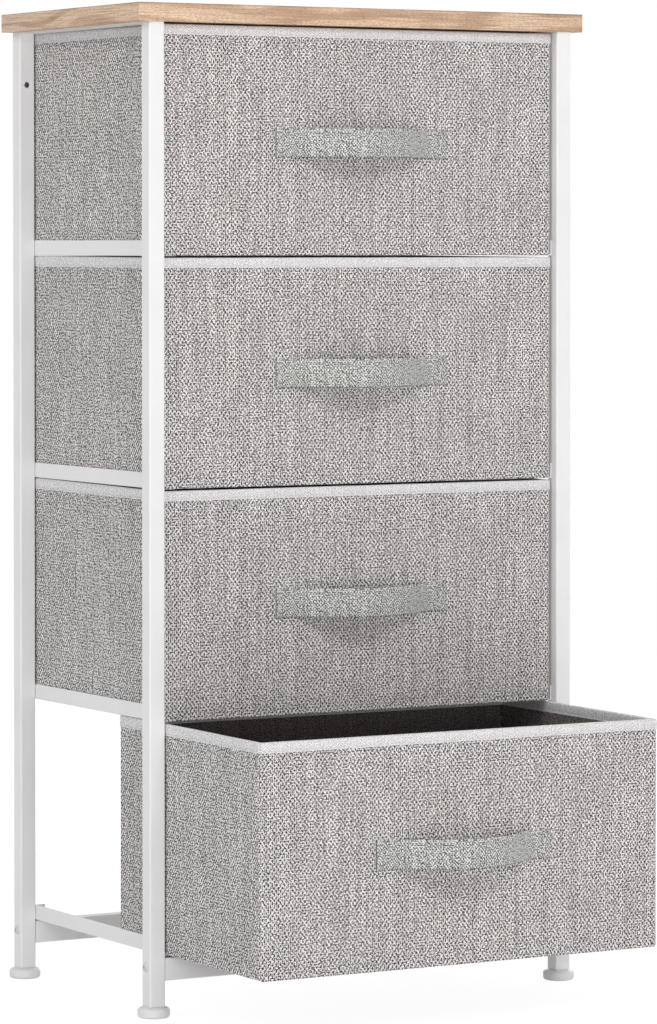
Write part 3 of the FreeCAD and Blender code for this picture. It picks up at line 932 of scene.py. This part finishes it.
def model_foot(low, high):
    """A round foot with a raised ring on top and its threaded stem."""
    size = sizes()
    plug_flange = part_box("leg_plug_front_left")[0].z
    disc_top = plug_flange - size.foot_gap - size.collar_height
    middle = (low + high) / 2
    radius = (high.x - low.x) / 2
    disc = new_piece("foot_disc", bpy.ops.mesh.primitive_cylinder_add, vertices=48, radius=radius,
                     depth=disc_top - low.z, location=(middle.x, middle.y, (low.z + disc_top) / 2))
    with Editing(disc) as edit:
        edit.pick("EDGE", is_level)
        edit.round_off(size.foot_shoulder, 4)
        edit.pick("FACE", lambda face: face.normal.z > PARALLEL)
        bpy.ops.mesh.inset(thickness=radius - size.foot_shoulder - size.foot_collar - size.collar_height)
        bpy.ops.mesh.inset(thickness=size.collar_height, depth=size.collar_height)
    stem = model_stem(middle, disc_top, high.z)
    foot = join([disc, stem], "levelling_foot")
    smooth(foot)
    return foot


def model_stem(middle, bottom, top):
    """A threaded rod: one ring of thread stacked by an array, closed at its top."""
    size = sizes()
    crest = bottom + size.stem_pitch / 2
    stem = new_piece("stem", bpy.ops.mesh.primitive_cylinder_add, vertices=20, radius=size.stem,
                     depth=size.stem_pitch, end_fill_type="NOTHING", location=(middle.x, middle.y, crest))
    with Editing(stem) as edit:
        edit.slice(Z_AXIS, [crest])
        edit.pick("VERT", lambda vertex: abs(vertex.co.z - crest) > TINY)
        bpy.ops.transform.resize(value=(size.stem_root, size.stem_root, 1),
                                 center_override=(middle.x, middle.y, bottom))
    turns = int((top - bottom) / size.stem_pitch)
    add_modifier(stem, "ARRAY", count=turns, use_relative_offset=False, use_constant_offset=True,
                 constant_offset_displace=(0, 0, size.stem_pitch), use_merge_vertices=True)
    with Editing(stem) as edit:
        edit.pick("EDGE", lambda edge: edge.is_boundary)
        bpy.ops.mesh.edge_face_add()
    return stem


class DRESSER_OT_feet(bpy.types.Operator):
    """Moulds the levelling feet and the leg plugs"""
    bl_idname = "dresser.feet"
    bl_label = "Levelling Feet"

    def execute(self, context):
        plastic = moulded_plastic()
        low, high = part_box("foot_front_left")
        first = model_foot(low, high)
        give(first, plastic)
        for corner in CORNERS:
            node = f"foot_{corner}"
            foot = copy_to(first, f"levelling_{node}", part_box(node)[0] - low)
            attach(foot, node)
            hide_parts(node)
            give(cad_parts[f"leg_plug_{corner}"], plastic)
        bpy.data.objects.remove(first)
        return {"FINISHED"}


# ---------------------------------------------------------------------------- drawers

def for_each_drawer(first, node_end, piece_end, instead=True):
    """Copies a piece made for the top drawer to every drawer, instead of a node of each or beside it."""
    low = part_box(f"drawer_1_{node_end}")[0]
    copies = []
    for level in LEVELS:
        node = f"drawer_{level}_{node_end}"
        twin = copy_to(first, f"drawer_{level}_{piece_end}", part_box(node)[0] - low)
        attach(twin, f"drawer_{level}")
        if instead:
            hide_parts(node)
        copies.append(twin)
    bpy.data.objects.remove(first)
    return copies


class DRESSER_OT_stiffeners(bpy.types.Operator):
    """Cuts the boards that keep the drawers' cloth stiff"""
    bl_idname = "dresser.stiffeners"
    bl_label = "Stiffening Boards"

    def execute(self, context):
        board = fibreboard()
        corner = sizes().stiffener_corner
        front = new_block("front_panel", *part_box("drawer_1_front_board"))
        with Editing(front) as edit:
            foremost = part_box("drawer_1_front_board")[0].y
            edit.pick("EDGE", lambda edge: is_upright(edge) and edge.verts[0].co.y < foremost + TINY)
            edit.round_off(corner, 4)
        low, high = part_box("drawer_1_wall_boards")
        sheet = high.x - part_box("drawer_1_lining")[1].x
        back = new_block("back_panel", (low.x, high.y - sheet, low.z), high)
        with Editing(back) as edit:
            edit.pick("EDGE", lambda edge: is_upright(edge) and edge.verts[0].co.y > high.y - TINY)
            edit.round_off(sheet - TINY, 4)
        left = new_block("left_panel", low, (low.x + sheet, high.y - sheet, high.z))
        right = new_block("right_panel", (high.x - sheet, low.y, low.z), (high.x, high.y - sheet, high.z))
        walls = join([back, left, right], "wall_panels")
        for piece, node_end, piece_end in ((front, "front_board", "front_panel"),
                                           (walls, "wall_boards", "wall_panels")):
            smooth(piece)
            give(piece, board)
            for_each_drawer(piece, node_end, piece_end)
        for level in LEVELS:
            give(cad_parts[f"drawer_{level}_base_board"], board)
        return {"FINISHED"}


def cover_uv(piece, low, high):
    """Lays the weave round the walls, with its seam at the rear left corner, and under the bottom."""
    width = high.x - low.x
    rearward = 1.0 - FACING               # part of a normal above which a face belongs to the back wall
    layer = piece.data.uv_layers.new(name=CLOTH)
    for face, loop_index, place in mesh_corners(piece):
        point = place - low
        if face.normal.z < -MOSTLY:
            layer.data[loop_index].uv = (point.x, point.z - point.y)
        elif face.normal.y > rearward:
            layer.data[loop_index].uv = (2 * width - point.x + point.y, point.z)
        elif face.center.x > 0:
            layer.data[loop_index].uv = (point.x + point.y, point.z)
        else:
            layer.data[loop_index].uv = (point.x - point.y, point.z)


def tape_uv(piece):
    """Lays a weave along upright faces, and straight down on level ones."""
    layer = piece.data.uv_layers.new(name=CLOTH)
    for face, loop_index, point in mesh_corners(piece):
        level = abs(face.normal.z) > MOSTLY
        layer.data[loop_index].uv = (point.x, point.y) if level else (point.x + point.y, point.z)


def open_box(name, low, high, corner, fold):
    """A box without a lid: upright corners and the fold round the bottom are rounded."""
    piece = new_block(name, low, high)
    with Editing(piece) as edit:
        edit.pick("FACE", lambda face: face.normal.z > FACING)
        bpy.ops.mesh.delete(type="FACE")
        edit.pick("EDGE", is_upright)
        edit.round_off(corner, 5)
        edit.pick("FACE", lambda face: face.normal.z < -FACING)
        bpy.ops.mesh.region_to_loop()
        edit.round_off(fold, 4)
    return piece


def draw_in(edit, axis, place, depth):
    """Presses a line of stitching into a mesh, across one axis."""
    half = sizes().press_width
    edit.slice(axis, [place - half, place, place + half])
    edit.pick("VERT", lambda vertex: abs(vertex.co.dot(axis) - place) < TINY)
    bpy.ops.transform.shrink_fatten(value=-depth)


def model_cover(low, high):
    """The sewn cloth box round one drawer's boards, open at the top."""
    size = sizes()
    piece = open_box("drawer_cover", low, high, size.cover_corner, size.cover_fold)
    margin = PAST_CORNER * size.cover_corner
    seam = low.z + size.seam_rise
    under_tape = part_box("drawer_1_trim")[0].z - size.cover_tuck

    def calm(point):
        """1 where the seam or the binding holds the cloth, 0 between them."""
        free = seam + size.cover_rest <= point.z <= under_tape - size.cover_rest
        return 0.0 if free else 1.0

    with Editing(piece) as edit:
        edit.grid(low, high, margin, size.cover_grid)
        edit.slice(Z_AXIS, evenly(seam + margin, under_tape - margin, size.cover_grid))
        draw_in(edit, Z_AXIS, seam, size.seam_depth / 2)
        draw_in(edit, Z_AXIS, under_tape, size.seam_depth)
        edit.slice(Y_AXIS, [low.y + size.cover_fold + size.cover_lip_width])
        edit.pick("VERT", lambda vertex: vertex.co.z < low.z + size.cover_fold + TINY
                  and vertex.co.y < low.y + size.cover_fold + TINY)
        bpy.ops.transform.translate(value=(0, 0, -size.cover_lip))
    cover_uv(piece, low, high)
    ripple(piece, size.cover_wave, size.cover_wave_length, "cloth_waves", calm)
    thicken(piece, size.cover_thickness)
    smooth(piece)
    return piece


class DRESSER_OT_covers(bpy.types.Operator):
    """Sews the cloth cover of each drawer"""
    bl_idname = "dresser.covers"
    bl_label = "Drawer Covers"

    def execute(self, context):
        low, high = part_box("drawer_1_cover")
        first = model_cover(low, high)
        give(first, cover_cloth())
        for level, cover in zip(LEVELS, for_each_drawer(first, "cover", "cloth_cover")):
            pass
        return {"FINISHED"}


def model_lining(low, high):
    """The slack inner cloth, smooth only where the binding holds it."""
    size = sizes()
    piece = open_box("drawer_lining", low, high, size.lining_corner, size.lining_fold)
    margin = PAST_CORNER * size.lining_corner
    held = high.z - size.lining_held

    def calm(point):
        """1 under the binding and along the edges of the box, 0 where the cloth hangs free."""
        from_walls = sorted((point.x - low.x, high.x - point.x, point.y - low.y, high.y - point.y,
                             point.z - low.z))
        second_wall = from_walls[1]
        edge = 1.0 - second_wall / size.lining_slack
        rim = (point.z - held) / size.lining_release + 1.0
        return min(1.0, max(0.0, edge, rim))

    with Editing(piece) as edit:
        edit.grid(low, high, margin, size.lining_grid)
        edit.slice(Z_AXIS, evenly(low.z + margin, high.z, size.lining_grid))
    tape_uv(piece)
    ripple(piece, size.lining_wave, size.lining_wave_length, "lining_waves", calm, only_inward=True)
    thicken(piece, size.lining_thickness)
    smooth(piece)
    return piece


class DRESSER_OT_linings(bpy.types.Operator):
    """Sews the dark lining of each drawer"""
    bl_idname = "dresser.linings"
    bl_label = "Drawer Linings"

    def execute(self, context):
        low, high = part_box("drawer_1_lining")
        first = model_lining(low, high)
        give(first, lining_cloth())
        for level, lining in zip(LEVELS, for_each_drawer(first, "lining", "cloth_lining")):
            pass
        return {"FINISHED"}


class Rim:
    """Places on the rim of the top drawer: the binding's outer faces and its opening."""

    def __init__(self):
        self.low, self.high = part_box("drawer_1_trim")
        self.high += Z_AXIS * sizes().binding_rise
        cover_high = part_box("drawer_1_cover")[1]
        tape = self.high.x - cover_high.x
        inside = Vector((1, 1, 0)) * (sizes().lining_thickness + tape)
        lining_low, lining_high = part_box("drawer_1_lining")
        self.open_low = lining_low + inside
        self.open_high = lining_high - inside
        self.height = self.high.z - self.low.z
        self.stitch_line = self.low.z + sizes().stitch_inset


def model_binding(rim):
    """The tape folded over one drawer's rim: outer leg, web and inner leg."""
    size = sizes()
    low, high = rim.low, rim.high
    web = high.x - rim.open_high.x
    front_extra = rim.open_low.y - low.y - web
    rear_extra = high.y - rim.open_high.y - web
    piece = new_block("rim_binding", low, high)
    with Editing(piece) as edit:
        edit.pick("FACE", lambda face: face.normal.z > FACING)
        bpy.ops.mesh.inset(thickness=web)
        edit.pick("VERT", lambda vertex: abs(vertex.co.y - low.y - web) < TINY)
        bpy.ops.transform.translate(value=(0, front_extra, 0))
        edit.pick("VERT", lambda vertex: abs(high.y - vertex.co.y - web) < TINY)
        bpy.ops.transform.translate(value=(0, -rear_extra, 0))
        edit.pick("FACE", lambda face: face.normal.z > FACING and abs(face.calc_center_median().x) < TINY
                  and abs(face.calc_center_median().y - (rim.open_low.y + rim.open_high.y) / 2) < TINY)
        bpy.ops.mesh.extrude_region_move(TRANSFORM_OT_translate={"value": (0, 0, -rim.height)})
        edit.pick("FACE", lambda face: abs(face.calc_center_median().z - low.z) < TINY)
        bpy.ops.mesh.delete(type="FACE")
        edit.pick("EDGE", lambda edge: is_upright(edge) and abs(edge.verts[0].co.x) > high.x - TINY)
        edit.round_off(size.binding_corner, 5)
        edit.pick("EDGE", lambda edge: is_upright(edge)
                  and abs(abs(edge.verts[0].co.x) - rim.open_high.x) < TINY)
        edit.round_off(size.binding_inner_corner, 3)
        edit.pick("EDGE", turns_over)
        edit.round_off(size.binding_shoulder, 3)
        edit.grid(low, high, PAST_CORNER * size.binding_corner, size.binding_grid)
        draw_in(edit, Z_AXIS, rim.stitch_line, size.stitch_press)
    for vertex in piece.data.vertices:
        if vertex.co.z > rim.stitch_line + size.binding_rest:
            vertex.co.z += size.binding_lean * (vertex.co.y - low.y) / (high.y - low.y)
    tape_uv(piece)
    ripple(piece, size.binding_wave, size.binding_wave_length, "binding_waves")
    thicken(piece, size.binding_thickness)
    smooth(piece)
    return piece


def model_stitch(axis):
    """One stitch of sewing thread at the origin, along an axis."""
    size = sizes()
    stretch = Vector((1, 1, 1)) + axis * (size.stitch_length / size.thread - 1)
    stitch = new_piece("stitch", bpy.ops.mesh.primitive_uv_sphere_add, stretch,
                       segments=6, ring_count=5, radius=size.thread / 2)
    smooth(stitch, 80)
    return stitch


def sew_rows(name, lines):
    """Rows of stitches between pairs of points, each row parallel to an axis, as one piece."""
    stitches = {axis: model_stitch(Vector(axis)) for axis in ((1, 0, 0), (0, 1, 0), (0, 0, 1))}
    rows = []
    for start, end in lines:
        run = Vector(end) - Vector(start)
        axis = tuple(round(abs(part)) for part in run.normalized())
        count = round(run.length / sizes().stitch_pitch) + 1
        row = copy_to(stitches[axis], f"{name}_{len(rows)}", Vector(start))
        add_modifier(row, "ARRAY", count=count, use_relative_offset=False, use_constant_offset=True,
                     constant_offset_displace=run / (count - 1))
        rows.append(row)
    for stitch in stitches.values():
        bpy.data.objects.remove(stitch)
    return join(rows, name)


def binding_rows(rim):
    """Where the stitches run: round the outer leg of the binding and round its inner leg."""
    height = rim.stitch_line
    lines = []
    for low, high, end in ((rim.low, rim.high, sizes().binding_corner),
                           (rim.open_low, rim.open_high, sizes().binding_inner_corner)):
        gap = end + sizes().stitch_length / 2
        for y in (low.y, high.y):
            lines.append(((low.x + gap, y, height), (high.x - gap, y, height)))
        for x in (low.x, high.x):
            lines.append(((x, low.y + gap, height), (x, high.y - gap, height)))
    return lines


class DRESSER_OT_bindings(bpy.types.Operator):
    """Folds and sews the tape over the rim of each drawer"""
    bl_idname = "dresser.bindings"
    bl_label = "Rim Bindings"

    def execute(self, context):
        rim = Rim()
        binding = model_binding(rim)
        give(binding, binding_tape())
        stitches = sew_rows("binding_stitches", binding_rows(rim))
        give(stitches, sewing_thread())
        for level, tape in zip(LEVELS, for_each_drawer(binding, "trim", "rim_binding")):
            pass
        for_each_drawer(stitches, "trim", "binding_stitches", instead=False)
        return {"FINISHED"}


class StrapBend:
    """How a flat strap bends into its loop: a tab, an arc out, a slope, the crown, and back again."""

    def __init__(self, low, high):
        size = sizes()
        self.front = high.y
        self.half_span = (high.x - low.x) / 2 - size.strap_tab
        self.reach = high.y - low.y - size.strap_thickness
        self.bend = size.strap_slope
        self.root = size.strap_root
        self.sine, self.cosine = math.sin(self.bend), math.cos(self.bend)
        self.crown = (self.half_span * self.sine - self.reach * self.cosine) / (1 - self.cosine) - self.root
        self.slope = self.reach * self.sine / (1 - self.cosine) - self.half_span
        self.slope_start = self.crown * self.bend
        self.root_start = self.slope_start + self.slope
        self.root_end = self.root_start + self.root * self.bend
        self.half_length = self.root_end + size.strap_tab

    def place(self, flat):
        """From a point on the flat strap, its length along X and its front towards -Y."""
        along, off = abs(flat.x), -flat.y
        if along <= self.root_start:
            angle = min(along, self.slope_start) / self.crown
            further = max(0.0, along - self.slope_start)
            side = (self.crown + off) * math.sin(angle) + further * self.cosine
            out = self.reach - self.crown + (self.crown + off) * math.cos(angle) - further * self.sine
        elif along <= self.root_end:
            angle = (self.root_end - along) / self.root
            side = self.half_span - (self.root - off) * math.sin(angle)
            out = self.root - (self.root - off) * math.cos(angle)
        else:
            side = self.half_span + along - self.root_end
            out = off
        return Vector((math.copysign(side, flat.x), self.front - out, flat.z))


def model_strap(bend, low, high):
    """The flat strap with its folded edges and its pressed lines of stitching, before it is bent."""
    size = sizes()
    half = bend.half_length
    piece = new_block("strap", (-half, -size.strap_thickness, low.z), (half, 0, high.z))
    with Editing(piece) as edit:
        edit.pick("EDGE", lambda edge: runs_along(edge, X_AXIS))
        edit.round_off(size.strap_edge, 4)
        edit.slice(X_AXIS, evenly(-half, half, size.strap_grid))
        for line in (low.z + size.stitch_inset, high.z - size.stitch_inset):
            draw_in(edit, Z_AXIS, line, size.stitch_press)
    layer = piece.data.uv_layers.new(name=CLOTH)
    for _, loop_index, point in mesh_corners(piece):
        layer.data[loop_index].uv = (point.x, point.z - point.y)
    return piece


def strap_rows(bend, low, high):
    """Where the strap is sewn: along both edges, and across at both ends of each tab."""
    size = sizes()
    half = bend.half_length - size.stitch_inset
    front = -size.strap_thickness
    edges = (low.z + size.stitch_inset, high.z - size.stitch_inset)
    lines = [((-half, front, edge), (half, front, edge)) for edge in edges]
    inner = bend.half_length - size.strap_tab + size.stitch_inset
    step = size.stitch_pitch
    for across in (-half, -inner, inner, half):
        lines.append(((across, front, edges[0] + step), (across, front, edges[1] - step)))
    return lines


class DRESSER_OT_handles(bpy.types.Operator):
    """Folds, sews and bends the strap handles"""
    bl_idname = "dresser.handles"
    bl_label = "Strap Handles"

    def execute(self, context):
        low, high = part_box("drawer_1_handle")
        bend = StrapBend(low, high)
        strap = model_strap(bend, low, high)
        stitches = sew_rows("strap_stitches", strap_rows(bend, low, high))
        for piece in (strap, stitches):
            for vertex in piece.data.vertices:
                vertex.co = bend.place(vertex.co)
        smooth(strap)
        give(strap, strap_cloth())
        give(stitches, sewing_thread())
        for level, handle in zip(LEVELS, for_each_drawer(strap, "handle", "strap_handle")):
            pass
        for_each_drawer(stitches, "handle", "strap_stitches", instead=False)
        return {"FINISHED"}


# ---------------------------------------------------------------------------- add-on

class DRESSER_PT_panel(bpy.types.Panel):
    """Lists the steps that dress the frame"""
    bl_idname = "DRESSER_PT_panel"
    bl_label = "Fabric Drawer Dresser"
    bl_space_type = "VIEW_3D"
    bl_region_type = "UI"
    bl_category = "Dresser"

    def draw(self, context):
        for operator in OPERATORS:
            self.layout.operator(operator.bl_idname)


OPERATORS = (DRESSER_OT_stage, DRESSER_OT_steel, DRESSER_OT_fasteners, DRESSER_OT_board, DRESSER_OT_feet,
             DRESSER_OT_stiffeners, DRESSER_OT_covers, DRESSER_OT_linings, DRESSER_OT_bindings,
             DRESSER_OT_handles)
CLASSES = (DresserSizes, DresserColours, StageSettings, *OPERATORS, DRESSER_PT_panel)
SETTINGS = {"dresser_sizes": DresserSizes, "dresser_colours": DresserColours, "dresser_stage": StageSettings}


def register():
    for kind in CLASSES:
        bpy.utils.register_class(kind)
    for name, kind in SETTINGS.items():
        setattr(bpy.types.Scene, name, bpy.props.PointerProperty(type=kind))


def unregister():
    for name in SETTINGS:
        delattr(bpy.types.Scene, name)
    for kind in reversed(CLASSES):
        bpy.utils.unregister_class(kind)


def main():
    register()
    bpy.ops.dresser.stage()
    bpy.ops.dresser.steel()
    bpy.ops.dresser.fasteners()
    bpy.ops.dresser.board()
    bpy.ops.dresser.feet()
    bpy.ops.dresser.stiffeners()
    bpy.ops.dresser.covers()
    bpy.ops.dresser.linings()
    bpy.ops.dresser.bindings()
    bpy.ops.dresser.handles()


if __name__ == "__main__":
    main()
